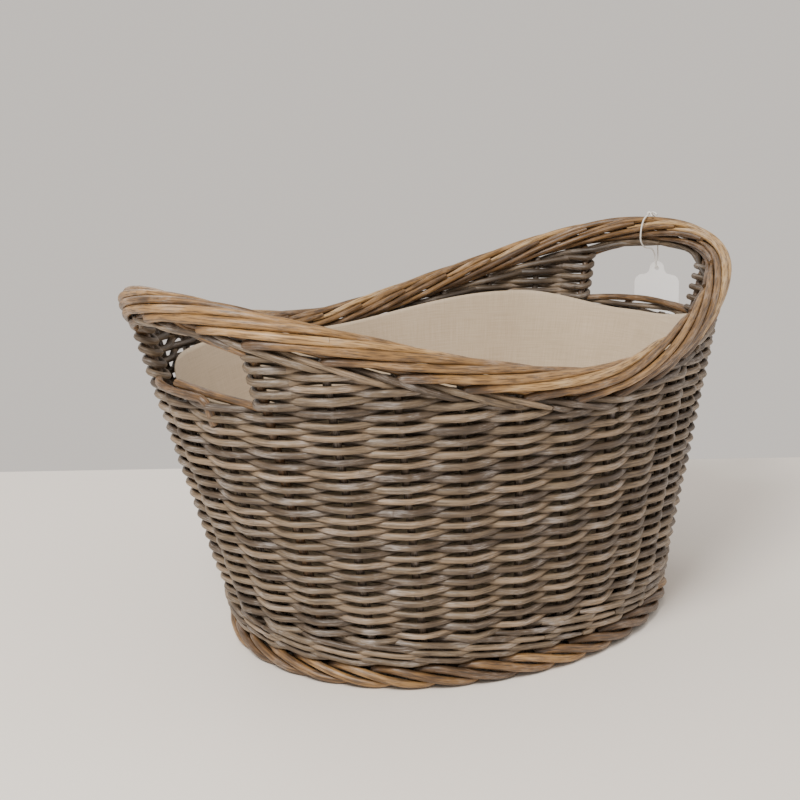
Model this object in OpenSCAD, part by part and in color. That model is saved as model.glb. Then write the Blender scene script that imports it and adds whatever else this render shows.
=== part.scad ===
// Oval wicker log basket: a woven willow body on a foot border, with a rolled
// border that dips along the sides, a hand hole in each end, a fabric liner and
// a swing tag on a loop of string. Millimetres, +Z up, base centre at the origin.

/* [Basket] */
// Half the rim's length, to the middle of the border
rim_half_length = 289; // [280:1:298]
// Half the rim's width, to the middle of the border
rim_half_width = 179; // [172:1:186]
// Half the base's length, to the middle of the stakes
base_half_length = 194; // [190:1:198]
// Half the base's width, to the middle of the stakes
base_half_width = 157; // [154:1:160]
// Height of the border's middle at the two ends
end_height = 302; // [298:1:308]
// Height of the border's middle halfway along the sides
side_height = 228; // [224:1:232]
// How flat the dip is: larger is flatter along the sides
dip_power = 1.65; // [1.5:0.05:1.9]

/* [Willow] */
// Radius of the upright stakes
stake_r = 3.5; // [3:0.1:3.6]
// Radius of the siding rods
rod_r = 2.4; // [2:0.1:2.4]
// Rise from one course of siding to the next
course_rise = 4.7; // [4.6:0.05:4.9]
// Radius of the waling rods
wale_r = 2.7; // [2.2:0.1:2.7]
// Radius of the rolled border's rods
border_rod_r = 2.9; // [2.5:0.1:2.9]
// Radius of the circle that the border's rods lie on
border_lay_r = 8.6; // [8.6:0.1:8.8]
// Radius of the foot border's rods
foot_rod_r = 3.75; // [3.5:0.05:3.75]

/* [Liner and tag] */
// Thickness of the liner cloth
liner_thickness = 1.2; // [0.8:0.1:1.4]
// Width of the swing tag
tag_width = 44; // [36:1:48]
// Height of the swing tag without its tab
tag_height = 58; // [50:1:64]
// Diameter of the tag's string
string_d = 1.5; // [1.2:0.1:1.6]

/* [Hidden] */
$fn = 32;

bark = [0.52, 0.44, 0.34];
bark_tan = [0.62, 0.46, 0.28];
linen = [0.76, 0.70, 0.61];
card = [0.90, 0.90, 0.89];

// The oval is four arcs that meet at the same angle at every height, so straight
// stakes lie on the wall. Places round it are counted in stake gaps: 0 is the
// left end (-X), 7.5 the front (-Y), 15 the right end (+X) and 22.5 the back.
turn = 34;
gaps = 30;
end_step = (90 - turn) / 2.5;
side_step = turn / 5;
floor_z = 8;

function half_length(z) =
    base_half_length + (z - floor_z) * (rim_half_length - base_half_length) / (end_height - floor_z);
function half_width(z) =
    base_half_width + (z - floor_z) * (rim_half_width - base_half_width) / (side_height - floor_z);
function spread(a, b) = (a - b) / (sin(turn) + cos(turn) - 1);
function heading(t) =
    t < 2.5 ? 180 + end_step * t :
    t < 12.5 ? 270 + side_step * (t - 7.5) :
    t < 17.5 ? 360 + end_step * (t - 15) :
    450 + side_step * (t - 22.5);
function on_side(t) = (t >= 2.5 && t < 12.5) || t >= 17.5;
function arc_centre(t, a, b) =
    t < 2.5 ? [-spread(a, b) * sin(turn), 0] :
    t < 12.5 ? [0, spread(a, b) * cos(turn)] :
    t < 17.5 ? [spread(a, b) * sin(turn), 0] :
    [0, -spread(a, b) * cos(turn)];
function arc_radius(t, a, b) =
    on_side(t) ? b + spread(a, b) * cos(turn) : a - spread(a, b) * sin(turn);
function wrap(t) = t < -2.5 ? t + gaps : t >= gaps - 2.5 ? t - gaps : t;
function out(t) = [cos(heading(wrap(t))), sin(heading(wrap(t))), 0];
function wall(t, z, off = 0) =
    let (u = wrap(t), a = half_length(z), b = half_width(z), c = arc_centre(u, a, b),
         r = arc_radius(u, a, b) + off)
    [c[0] + r * cos(heading(u)), c[1] + r * sin(heading(u)), z];

// The place that lies g even stake gaps round the wall at height z, since stakes
// stand evenly along the wall and the arcs' shares change with height.
function even_place(g, z) =
    let (a = half_length(z), b = half_width(z), half = gaps / 2,
         end_arc = arc_radius(0, a, b) * (90 - turn), side_arc = arc_radius(7.5, a, b) * turn,
         nearest = half * round(g / half), d = g - nearest,
         s = abs(d) * (end_arc + side_arc) / (half / 2),
         t = s < end_arc ? 2.5 * s / end_arc : 2.5 + 5 * (s - end_arc) / side_arc)
    nearest + sign(d) * t;

// Height of the border's middle, and where a level line meets a curve that
// follows the border at a set drop.
mid_z = 260;
function rim_z(t) =
    side_height + (end_height - side_height)
    * pow(abs(wall(t, mid_z)[0]) / half_length(mid_z), dip_power);
function meet_x(z) =
    half_length(mid_z) * pow((z - side_height) / (end_height - side_height), 1 / dip_power);
function meet_t(z) =
    let (x = meet_x(z), a = half_length(mid_z), b = half_width(mid_z),
         end_x = spread(a, b) * sin(turn), end_r = a - end_x,
         side_r = b + spread(a, b) * cos(turn))
    z <= side_height ? 7.5 :
    x > side_r * sin(turn) ? acos((x - end_x) / end_r) / end_step :
    7.5 - asin(x / side_r) / side_step;

// One willow rod that lies level along the wall between two places on one arc.
module level_rod(t0, t1, z, off, r) {
    a = half_length(z);
    b = half_width(z);
    mid = (t0 + t1) / 2;
    c = arc_centre(mid, a, b);
    span = heading(t1) - heading(t0);
    translate([c[0], c[1], z])
        rotate([0, 0, heading(mid)])
            rotate([0, 0, -span / 2])
                rotate_extrude(angle = span)
                    translate([arc_radius(mid, a, b) + off, 0])
                        circle(r);
}

// A straight bar between two points.
module bar(p, q, r) {
    d = q - p;
    translate(p)
        rotate([0, acos(d[2] / norm(d)), atan2(d[1], d[0])])
            cylinder(h = norm(d), r = r);
}

// A tube through rings of points, closed at both ends.
module tube(rings) {
    m = len(rings[0]);
    n = len(rings);
    points = [for (ring = rings) for (p = ring) p];
    sides = [for (i = [0:n - 2]) for (j = [0:m - 1])
        let (k = (j + 1) % m) [i * m + j, i * m + k, (i + 1) * m + k, (i + 1) * m + j]];
    first = [for (j = [m - 1:-1:0]) j];
    last = [for (j = [0:m - 1]) (n - 1) * m + j];
    polyhedron(points, concat([first], sides, [last]), convexity = 6);
}

function ring_at(c, u, v, r, m) =
    [for (j = [0:m - 1]) c + r * cos(360 * j / m) * u + r * sin(360 * j / m) * v];

// A rod that follows the wall from t0 to t1 at a set drop below the border's
// middle, with its own offset from the stakes.
module wall_rod(t0, t1, drop, off, r, m = 6, steps = 3) {
    tube([for (i = [0:steps])
        let (t = t0 + (t1 - t0) * i / steps)
        ring_at(wall(t, rim_z(t) - drop, off), out(t), [0, 0, 1], r, m)]);
}

gap_t = 0.012;

// ---- foot border -----------------------------------------------------------
foot_count = 34;
foot_off = 9;
foot_slope = 14.2;
foot_rise = 8.6;
foot_rod_length = 50;

module foot_border() {
    color(bark_tan)
        for (i = [0:foot_count - 1])
            difference() {
                foot_rod(i);
                translate([-300, -300, -20])
                    cube([600, 600, 20]);
            }
}

// Each rod starts high against the wale and runs down under the next, where
// standing on the floor has worn it flat.
module foot_rod(i) {
    h = foot_heading(i * 360 / foot_count);
    r = foot_radius(h);
    length_angle = foot_rod_length / r * 180 / PI;
    p = foot_point(h);
    translate([p[0] - r * cos(h), p[1] - r * sin(h), foot_rise])
        rotate([0, 0, h])
            rotate([-foot_slope, 0, 0])
                rotate([0, 0, -length_angle / 2])
                    rotate_extrude(angle = length_angle)
                        translate([r, 0])
                            circle(foot_rod_r);
}

// Even steps round the foot: the share of the ends and sides goes by arc length.
function foot_end_r() =
    base_half_length + foot_off - spread(base_half_length, base_half_width) * sin(turn);
function foot_side_r() =
    base_half_width + foot_off + spread(base_half_length, base_half_width) * cos(turn);
function foot_quarter() = foot_end_r() * (90 - turn) + foot_side_r() * turn;
function foot_heading(s) =
    let (q = floor(s / 90), u = (s - 90 * q) / 90 * foot_quarter(),
         w = q % 2 == 0 ? u : foot_quarter() - u,
         end_part = foot_end_r() * (90 - turn),
         g = w < end_part ? w / foot_end_r() : 90 - turn + (w - end_part) / foot_side_r())
    q % 2 == 0 ? 90 * q + g : 90 * q + 90 - g;
function foot_on_side(h) = abs(sin(h)) > cos(turn);
function foot_radius(h) = foot_on_side(h) ? foot_side_r() : foot_end_r();
function foot_point(h) =
    let (d = spread(base_half_length, base_half_width))
    foot_on_side(h) ?
    [foot_side_r() * cos(h), foot_side_r() * sin(h) - sign(sin(h)) * d * cos(turn)] :
    [foot_end_r() * cos(h) + sign(cos(h)) * d * sin(turn), foot_end_r() * sin(h)];

// ---- base ------------------------------------------------------------------
base_z = 13;
cross_r = 5.4;
long_r = 3.2;
long_bore_r = 3.4;
long_gap = 15;
cross_gap = 38;
base_weave_r = 2.1;
base_weave_lift = 7.8;
base_inset = 8;

function oval_y(x) =
    let (a = base_half_length - base_inset, b = base_half_width - base_inset,
         d = spread(a, b), end_x = d * sin(turn), end_r = a - end_x, side_r = b + d * cos(turn))
    abs(x) > side_r * sin(turn) ?
    sqrt(end_r * end_r - pow(abs(x) - end_x, 2)) :
    sqrt(side_r * side_r - x * x) - d * cos(turn);
function oval_x(y) =
    let (a = base_half_length - base_inset, b = base_half_width - base_inset,
         d = spread(a, b), end_x = d * sin(turn), end_r = a - end_x)
    end_x + sqrt(end_r * end_r - y * y);

module base_cross_sticks() {
    color(bark)
        for (i = [-3:3])
            difference() {
                translate([i * cross_gap, -oval_y(i * cross_gap), base_z])
                    rotate([-90, 0, 0])
                        cylinder(h = 2 * oval_y(i * cross_gap), r = cross_r);
                for (j = [-2:2])
                    translate([i * cross_gap - 10, j * long_gap, base_z])
                        rotate([0, 90, 0])
                            cylinder(h = 20, r = long_bore_r);
            }
}

module base_long_sticks() {
    color(bark)
        for (j = [-2:2])
            translate([-oval_x(j * long_gap), j * long_gap, base_z])
                rotate([0, 90, 0])
                    cylinder(h = 2 * oval_x(j * long_gap), r = long_r);
}

module base_weave() {
    color(bark)
        for (k = [0:23])
            base_ring(12 + 4.7 * k, k % 2 == 0 ? base_weave_lift : -base_weave_lift);
}

module base_ring(inset, lift) {
    a = base_half_length - inset;
    b = base_half_width - inset;
    d = spread(a, b);
    end_r = a - d * sin(turn);
    side_r = b + d * cos(turn);
    end_gap = 30 / end_r;
    side_gap = 30 / side_r;
    for (q = [0, 180]) {
        rotate([0, 0, q])
            translate([d * sin(turn), 0, base_z + lift])
                rotate([0, 0, -(90 - turn) + end_gap])
                    rotate_extrude(angle = 2 * (90 - turn - end_gap))
                        translate([end_r, 0])
                            circle(base_weave_r);
        rotate([0, 0, q])
            translate([0, -d * cos(turn), base_z + lift])
                rotate([0, 0, 90 - turn + side_gap])
                    rotate_extrude(angle = 2 * (turn - side_gap))
                        translate([side_r, 0])
                            circle(base_weave_r);
    }
}

// ---- walls -----------------------------------------------------------------
wale_off = 7.2;
wale_low = 22.8;
wale_rise = 5.9;
weave_off = 6.9;
weave_low = 40.2;
post_r = 3.9;
post_g = 1.5;
cheek_t = 1.22;
sill_z = 232;
sill_r = 3.4;
sill_off = 3.9;
border_clear = border_lay_r + border_rod_r + 0.6;
wale_drop = 14.9;
top_clear = 2 * wale_drop - border_clear + rod_r + 8.2;

function course_z(k) = weave_low + k * course_rise;
function course_off(k) = k % 2 == 0 ? weave_off : -weave_off;
// Full courses run all the way round; above them the courses stop at the border.
full_courses = floor((side_height - top_clear - weave_low) / course_rise);
sill_courses = floor((sill_z - sill_r - rod_r - 0.4 - weave_low) / course_rise);
cheek_courses = floor((end_height - 9 - top_clear - weave_low) / course_rise);

module bottom_wale() {
    color(bark)
        for (k = [0:5])
            for (p = [0:11])
                level_rod(panel_edge(p) + gap_t, panel_edge(p + 1) - gap_t,
                    wale_low + k * wale_rise / 2, k % 2 == 0 ? wale_off : -wale_off, wale_r);
}

// The twelve panels: three along each end and three along each side.
function panel_edge(p) =
    p <= 3 ? -2.5 + 5 * p / 3 :
    p <= 6 ? 2.5 + 10 * (p - 3) / 3 :
    p <= 9 ? 12.5 + 5 * (p - 6) / 3 :
    17.5 + 10 * (p - 9) / 3;

module side_courses(from_panel) {
    for (k = [0:full_courses])
        for (p = [from_panel:from_panel + 2])
            level_rod(panel_edge(p) + gap_t, panel_edge(p + 1) - gap_t,
                course_z(k), course_off(k), rod_r);
}

module end_courses(from_panel) {
    for (k = [0:sill_courses])
        for (p = [from_panel:from_panel + 2])
            level_rod(panel_edge(p) + gap_t, panel_edge(p + 1) - gap_t,
                course_z(k), course_off(k), rod_r);
}

module weave_front() { color(bark) side_courses(3); }
module weave_back() { color(bark) side_courses(9); }
module weave_left_end() { color(bark) end_courses(0); }
module weave_right_end() { color(bark) end_courses(6); }

// Courses beside a hand hole and up to the dipping border, at the left front.
module cheek() {
    for (k = [full_courses + 1:cheek_courses]) {
        stop = min(7.3, meet_t(course_z(k) + top_clear));
        if (k > sill_courses)
            level_rod(cheek_t, min(stop, 2.5) - gap_t, course_z(k), course_off(k), rod_r);
        if (stop > 2.8) {
            middle = (2.5 + stop) / 2;
            level_rod(2.5 + gap_t, middle - gap_t, course_z(k), course_off(k), rod_r);
            level_rod(middle + gap_t, stop - gap_t, course_z(k), course_off(k), rod_r);
        }
    }
}

module left_front_cheek() { color(bark) cheek(); }
module left_back_cheek() { color(bark) mirror([0, 1, 0]) cheek(); }
module right_front_cheek() { color(bark) mirror([1, 0, 0]) cheek(); }
module right_back_cheek() { color(bark) mirror([1, 0, 0]) mirror([0, 1, 0]) cheek(); }

stake_low = 20.2;

stake_bow = 0.3;
stake_gap = 1.9;
short_gap = 1.6;

// A straight upright g even gaps round, from the wale to a height near the rim.
module upright(g, top, r, bow) {
    bar(wall(even_place(g, stake_low), stake_low, bow), wall(even_place(g, top), top, bow), r);
}

module stake(g, r = stake_r, bow = stake_bow) {
    upright(g, rim_z(even_place(g, mid_z)) - border_clear - stake_gap, r, bow);
}

// A stake that is cut off under the hand hole's sill.
module short_stake(g) {
    upright(g, sill_z - sill_r - short_gap, stake_r, 0);
}

module stakes_front() { color(bark) for (g = [3.5:1:11.5]) stake(g); }
module stakes_back() { color(bark) for (g = [18.5:1:26.5]) stake(g); }
module end_stakes(middle) {
    for (s = [-1, 1]) {
        stake(middle + 2.5 * s);
        short_stake(middle + 0.5 * s);
    }
}
module stakes_left_end() { color(bark) end_stakes(0); }
module stakes_right_end() { color(bark) end_stakes(15); }
module handle_posts(middle) {
    for (s = [-1, 1])
        stake(middle + post_g * s, post_r, stake_bow / 2);
}
module left_handle_posts() { color(bark_tan) handle_posts(0); }
module right_handle_posts() { color(bark_tan) handle_posts(15); }

// The two stakes under the hand hole bend over and cross along the sill.
hole_t = 1.2;
sill_back = 0.53;
module sill(middle) {
    level_rod(middle - sill_back, middle + hole_t, sill_z, sill_off, sill_r);
    level_rod(middle - hole_t, middle + sill_back, sill_z, -sill_off, sill_r);
}
module left_sill() { color(bark_tan) sill(0); }
module right_sill() { color(bark_tan) sill(15); }

wale_pieces = 7;
wale_start = 1.5;
head_drop = 14.6;
head_r = 2.5;
head_off = 2.7;

// The wale under the border from one end's middle to the other's: three strands
// past the stakes, and two that close up to bridge each half of a hand hole.
module top_wale(middle) {
    step = (gaps / 2 - 2 * wale_start) / wale_pieces;
    for (strand = [[0, 1], [1, 1], [0.5, -1]])
        for (i = [0:wale_pieces - 1])
            let (t = middle + wale_start + i * step)
            wall_rod(t + gap_t, t + step - gap_t,
                wale_drop + strand[0] * 2.2 * wale_r, strand[1] * wale_off, wale_r);
    for (t = [middle, middle + gaps / 2 - hole_t])
        for (off = [-head_off, head_off])
            head_rod(t + gap_t, t + hole_t - gap_t, off);
}

// A strand that hugs the underside of the border over a hand hole.
module head_rod(t0, t1, off) {
    tube([for (i = [0:3])
        let (t = t0 + (t1 - t0) * i / 3)
        ring_at(wall(t, rim_z(t), off) - [0, 0, head_drop], out(t), [0, 0, 1], head_r, 6)]);
}

module top_wale_front() { color(bark) top_wale(0); }
module top_wale_back() { color(bark) top_wale(gaps / 2); }

// ---- rolled border -----------------------------------------------------------
border_strands = 8;
border_pieces = 5;
border_start = 150;

// Each rod starts inside the top of the bundle at its own stake and runs on for
// eight gaps, rolling once down the inside, under and up the outside.
function border_point(i, g) =
    let (roll = border_start + 360 / border_strands * (g - i), t = even_place(g, mid_z))
    wall(t, rim_z(t), border_lay_r * cos(roll)) + [0, 0, border_lay_r * sin(roll)];

module border_rod(i) {
    piece = border_strands / border_pieces;
    for (j = [0:border_pieces - 1]) {
        from_g = i + j * piece + gap_t;
        to_g = i + (j + 1) * piece - gap_t;
        tube([for (s = [0:3])
            let (g = from_g + (to_g - from_g) * s / 3)
            ring_at(border_point(i, g), out(even_place(g, mid_z)), [0, 0, 1], border_rod_r, 6)]);
    }
}
module border_front() { color(bark_tan) for (i = [0:14]) border_rod(i); }
module border_back() { color(bark_tan) for (i = [15:29]) border_rod(i); }

// ---- liner ---------------------------------------------------------------------
liner_off = -11.9;
liner_low = 26.4;
liner_points = 60;
liner_rows = 5;
base_cloth_z = 23.6;
base_cloth_off = -13.5;

// The top edge is highest at the four shoulders and lower at the ends and sides.
function eased(u) = let (v = min(max(u, 0), 1)) v * v * (3 - 2 * v);
function liner_top(g) =
    let (half = gaps / 2, u = (g % half + half) % half, d = min(u, half - u))
    225.8 + 14.5 * eased((d - 0.4) / 2.6) - 16 * eased((d - 3.3) / 4);
function liner_ring(f, off) =
    [for (j = [0:liner_points - 1])
        let (g = wrap(gaps * j / liner_points), z = liner_low + (liner_top(g) - liner_low) * f)
        wall(even_place(g, z), z, off)];

// The band of cloth round the inside: rings up its outer face and down its inner
// face, closed into a loop.
module liner_sides() {
    rings = concat(
        [for (i = [0:liner_rows]) liner_ring(i / liner_rows, liner_off)],
        [for (i = [liner_rows:-1:0]) liner_ring(i / liner_rows, liner_off - liner_thickness)]);
    m = liner_points;
    n = len(rings);
    points = [for (ring = rings) for (p = ring) p];
    faces = [for (i = [0:n - 1]) for (j = [0:m - 1])
        let (k = (j + 1) % m, h = (i + 1) % n) [i * m + j, i * m + k, h * m + k, h * m + j]];
    color(linen)
        polyhedron(points, faces, convexity = 6);
}

// The oval panel of cloth over the woven base.
module liner_base() {
    outline = [for (j = [0:liner_points - 1])
        let (p = wall(even_place(wrap(gaps * j / liner_points), base_cloth_z), base_cloth_z, base_cloth_off))
        [p[0], p[1]]];
    color(linen)
        translate([0, 0, base_cloth_z])
            linear_extrude(liner_thickness)
                polygon(outline);
}

// ---- swing tag -------------------------------------------------------------------
// The tag hangs outside the right end. Its own frame has its origin at the middle
// of the border, X outwards and Z up.
tag_t = 15.25;
tag_turn = 25;
tag_drop = 42;
tag_out = 14.5;
tag_thickness = 0.8;
tag_hole_r = 2.2;
tag_tab = 14;
// the scooped shoulder, in from the side and down from the hole
shoulder = [[0, -13], [1.6, -9.4], [4.6, -7], [8.6, -6.4], [11.8, -5.6], [14, -3.4], [15, 0]];

module at_tag() {
    p = wall(tag_t, end_height);
    translate([p[0], p[1], rim_z(tag_t)])
        rotate([0, 0, heading(tag_t)])
            children();
}

module swing_tag() {
    w = tag_width / 2;
    tab = tag_tab / 2;
    color(card)
        at_tag()
            translate([tag_out, 0, -tag_drop])
                rotate([0, 0, tag_turn])
                    rotate([90, 0, 90])
                        translate([0, 0, -tag_thickness / 2])
                            linear_extrude(tag_thickness)
                                difference() {
                                    union() {
                                        polygon(concat(
                                            [[-w, -tag_height - 6], [w, -tag_height - 6]],
                                            [for (p = shoulder) [w - p[0], p[1]]],
                                            [for (i = [len(shoulder) - 1:-1:0])
                                                [shoulder[i][0] - w, shoulder[i][1]]]));
                                        circle(tab);
                                    }
                                    circle(tag_hole_r);
                                }
}

// The string's route in the tag's frame: from its knot on top of the border,
// down the outside, through the tag's hole and back up inside the hand hole.
string_route = [
    [1, 13.4], [7, 11.6], [11.6, 8], [13.8, 1], [15, -8], [15.8, -18], [16.3, -28],
    [16.6, -36], [16.1, -40], [14.5, -41.5], [12.9, -40], [12.2, -35], [10.6, -28],
    [6, -22.2], [-1, -20], [-7, -18.8], [-12.2, -15.6], [-15.6, -10.8], [-15.6, -3],
    [-13.6, 4], [-9.8, 9.6], [-3, 13]
];

function tangent(i) =
    let (n = len(string_route), p = string_route[max(i - 1, 0)], q = string_route[min(i + 1, n - 1)])
    (q - p) / norm(q - p);

module tag_string() {
    r = string_d / 2;
    color(card)
        at_tag()
            tube([for (i = [0:len(string_route) - 1])
                let (p = string_route[i], d = tangent(i))
                ring_at([p[0], 0, p[1]], [d[1], 0, -d[0]], [0, -1, 0], r, 8)]);
}

foot_border();
base_cross_sticks();
base_long_sticks();
base_weave();
bottom_wale();
stakes_front();
stakes_back();
stakes_left_end();
stakes_right_end();
left_handle_posts();
right_handle_posts();
weave_front();
weave_back();
weave_left_end();
weave_right_end();
left_front_cheek();
left_back_cheek();
right_front_cheek();
right_back_cheek();
left_sill();
right_sill();
top_wale_front();
top_wale_back();
border_front();
border_back();
liner_sides();
liner_base();
tag_string();
swing_tag();
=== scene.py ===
"""Oval wicker log basket: woven willow, rolled border, cloth liner and swing tag.

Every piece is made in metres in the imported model's own frame, +Z up, with the
centre of the foot at the origin and the tag's end towards +X.
"""

import math

import bmesh
import bpy
import numpy as np
from mathutils import Matrix, Vector


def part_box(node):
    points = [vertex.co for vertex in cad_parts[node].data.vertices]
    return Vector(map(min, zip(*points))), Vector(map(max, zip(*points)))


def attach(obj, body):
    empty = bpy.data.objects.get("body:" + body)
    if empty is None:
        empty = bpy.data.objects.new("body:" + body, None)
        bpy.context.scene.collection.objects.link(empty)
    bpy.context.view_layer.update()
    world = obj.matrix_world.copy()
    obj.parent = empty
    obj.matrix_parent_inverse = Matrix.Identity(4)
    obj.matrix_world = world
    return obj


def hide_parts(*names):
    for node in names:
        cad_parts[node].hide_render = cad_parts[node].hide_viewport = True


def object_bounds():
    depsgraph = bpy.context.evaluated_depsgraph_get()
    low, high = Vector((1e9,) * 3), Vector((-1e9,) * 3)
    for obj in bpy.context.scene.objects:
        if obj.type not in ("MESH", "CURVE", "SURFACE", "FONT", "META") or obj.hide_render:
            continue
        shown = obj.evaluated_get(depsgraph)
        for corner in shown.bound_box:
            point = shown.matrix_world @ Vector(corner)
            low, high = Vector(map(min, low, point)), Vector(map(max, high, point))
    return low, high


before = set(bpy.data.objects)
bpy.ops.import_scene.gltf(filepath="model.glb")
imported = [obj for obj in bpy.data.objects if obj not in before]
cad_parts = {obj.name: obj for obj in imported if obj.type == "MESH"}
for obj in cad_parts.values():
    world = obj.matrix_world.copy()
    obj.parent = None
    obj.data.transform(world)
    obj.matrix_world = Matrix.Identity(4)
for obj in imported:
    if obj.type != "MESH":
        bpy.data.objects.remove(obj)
CAD_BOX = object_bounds()

bl_info = {
    "name": "Wicker log basket",
    "version": (1, 0, 0),
    "blender": (4, 5, 0),
    "location": "3D View > Sidebar > Basket",
    "description": "Weaves an oval log basket with a liner and a swing tag",
    "category": "Object",
}

MM = 0.001


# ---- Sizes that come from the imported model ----


def span(*nodes):
    """Lowest and highest corner of several nodes together."""
    boxes = [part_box(n) for n in nodes]
    low = [min(b[0][i] for b in boxes) for i in range(3)]
    high = [max(b[1][i] for b in boxes) for i in range(3)]
    return low, high


def placed(name, data):
    obj = bpy.data.objects.new(name, data)
    bpy.context.scene.collection.objects.link(obj)
    return obj


LAY = 8.6 * MM  # from the border's middle to the middle of a rod in it
ROD_IN_BORDER = 2.9 * MM
FOOT_OFF = 9 * MM  # from the wall's outline out to the middle of the outermost foot rod
FOOT_ROD = 3.75 * MM
BORDER_LOW, BORDER_HIGH = span("border_front", "border_back")
FOOT_HIGH = span("foot_border")[1]

RIM_HALF_LENGTH = BORDER_HIGH[0] - LAY - ROD_IN_BORDER
RIM_HALF_WIDTH = BORDER_HIGH[1] - LAY - ROD_IN_BORDER
END_HEIGHT = BORDER_HIGH[2] - LAY - ROD_IN_BORDER
SIDE_HEIGHT = BORDER_LOW[2] + LAY + ROD_IN_BORDER
BASE_HALF_LENGTH = FOOT_HIGH[0] - FOOT_OFF - FOOT_ROD
BASE_HALF_WIDTH = FOOT_HIGH[1] - FOOT_OFF - FOOT_ROD
FLOOR = 8 * MM  # the height at which the base has its half sizes
MID = 260 * MM  # the height whose outline sets how the rim dips
DIP_POWER = 1.65

GAPS = 30
TURN = math.radians(34)
END_STEP = (math.pi / 2 - TURN) / 2.5
SIDE_STEP = TURN / 5


# ---- The oval ----
# Four arcs that meet at the same angle at every height. Places are counted in
# stake gaps: 0 is the left end, 7.5 the front, 15 the right end, 22.5 the back.


def half_length(z):
    return BASE_HALF_LENGTH + (z - FLOOR) * (RIM_HALF_LENGTH - BASE_HALF_LENGTH) / (END_HEIGHT - FLOOR)


def half_width(z):
    return BASE_HALF_WIDTH + (z - FLOOR) * (RIM_HALF_WIDTH - BASE_HALF_WIDTH) / (SIDE_HEIGHT - FLOOR)


def arcs(a, b):
    """End centre, end radius, side centre and side radius of an oval."""
    spread = (a - b) / (math.sin(TURN) + math.cos(TURN) - 1)
    end_x = spread * math.sin(TURN)
    side_y = spread * math.cos(TURN)
    return end_x, a - end_x, side_y, b + side_y


def wrap(t):
    return (np.asarray(t, float) + 2.5) % GAPS - 2.5


def evenly(g, a, b):
    """The arc place that lies g stake gaps round the oval, measured along it."""
    end_x, end_r, side_y, side_r = arcs(a, b)
    g = wrap(g)
    end_arc = end_r * (math.pi / 2 - TURN)
    side_arc = side_r * TURN
    nearest = np.round(g / 15)
    d = g - 15 * nearest
    s = np.abs(d) * (end_arc + side_arc) / 7.5
    t = np.where(s < end_arc, s / end_arc * 2.5, 2.5 + (s - end_arc) / side_arc * 5)
    return 15 * nearest + np.sign(d) * t


def heading(t):
    t = wrap(t)
    return np.select(
        [t < 2.5, t < 12.5, t < 17.5],
        [
            math.pi + END_STEP * t,
            1.5 * math.pi + SIDE_STEP * (t - 7.5),
            2 * math.pi + END_STEP * (t - 15),
        ],
        2.5 * math.pi + SIDE_STEP * (t - 22.5),
    )


def oval(g, z, off, a, b):
    """Points g stake gaps round an oval of half sizes a and b, off outside it."""
    g, z, off, a, b = np.broadcast_arrays(g, z, off, a, b)
    end_x, end_r, side_y, side_r = arcs(a, b)
    t = wrap(evenly(g, a, b))
    h = heading(t)
    ends = (t < 2.5) | ((t >= 12.5) & (t < 17.5))
    x = np.where(ends, np.where(t < 2.5, -end_x, end_x), 0)
    y = np.where(ends, 0, np.where(t < 12.5, side_y, -side_y))
    r = np.where(ends, end_r, side_r) + off
    return np.stack([x + r * np.cos(h), y + r * np.sin(h), z], -1)


def wall(g, z, off=0.0):
    z = np.asarray(z, float)
    return oval(g, z, off, half_length(z), half_width(z))


def outward(g, z):
    g, z = np.broadcast_arrays(np.asarray(g, float), np.asarray(z, float))
    h = heading(evenly(g, half_length(z), half_width(z)))
    return np.stack([np.cos(h), np.sin(h), np.zeros_like(h)], -1)


def rim_z(g):
    """Height of the border's middle, which dips along the sides."""
    x = np.abs(wall(g, MID)[..., 0]) / half_length(MID)
    return SIDE_HEIGHT + (END_HEIGHT - SIDE_HEIGHT) * x**DIP_POWER


def smooth(x, low=0.0, high=1.0):
    u = np.clip((np.asarray(x, float) - low) / (high - low), 0, 1)
    return u * u * (3 - 2 * u)


# ---- Node graphs ----


class Value:
    """A number in a node tree. Python's operators add Math nodes."""

    def __init__(self, graph, socket):
        self.graph = graph
        self.socket = socket

    def math(self, operation, *others):
        return self.graph.node("ShaderNodeMath", {"operation": operation}, dict(enumerate((self, *others))))

    def __add__(self, other):
        return self.math("ADD", other)

    def __radd__(self, other):
        return self.math("ADD", other)

    def __sub__(self, other):
        return self.math("SUBTRACT", other)

    def __rsub__(self, other):
        return self.graph.node("ShaderNodeMath", {"operation": "SUBTRACT"}, {0: other, 1: self})

    def __mul__(self, other):
        return self.math("MULTIPLY", other)

    def __rmul__(self, other):
        return self.math("MULTIPLY", other)

    def __truediv__(self, other):
        return self.math("DIVIDE", other)

    def sin(self):
        return self.math("SINE")

    def cos(self):
        return self.math("COSINE")

    def smallest(self, other):
        return self.math("MINIMUM", other)

    def between(self, low, high):
        """0 below low, 1 above high and smooth between."""
        return self.graph.node(
            "ShaderNodeMapRange",
            {"interpolation_type": "SMOOTHSTEP"},
            {"Value": self, "From Min": low, "From Max": high},
        )


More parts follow.
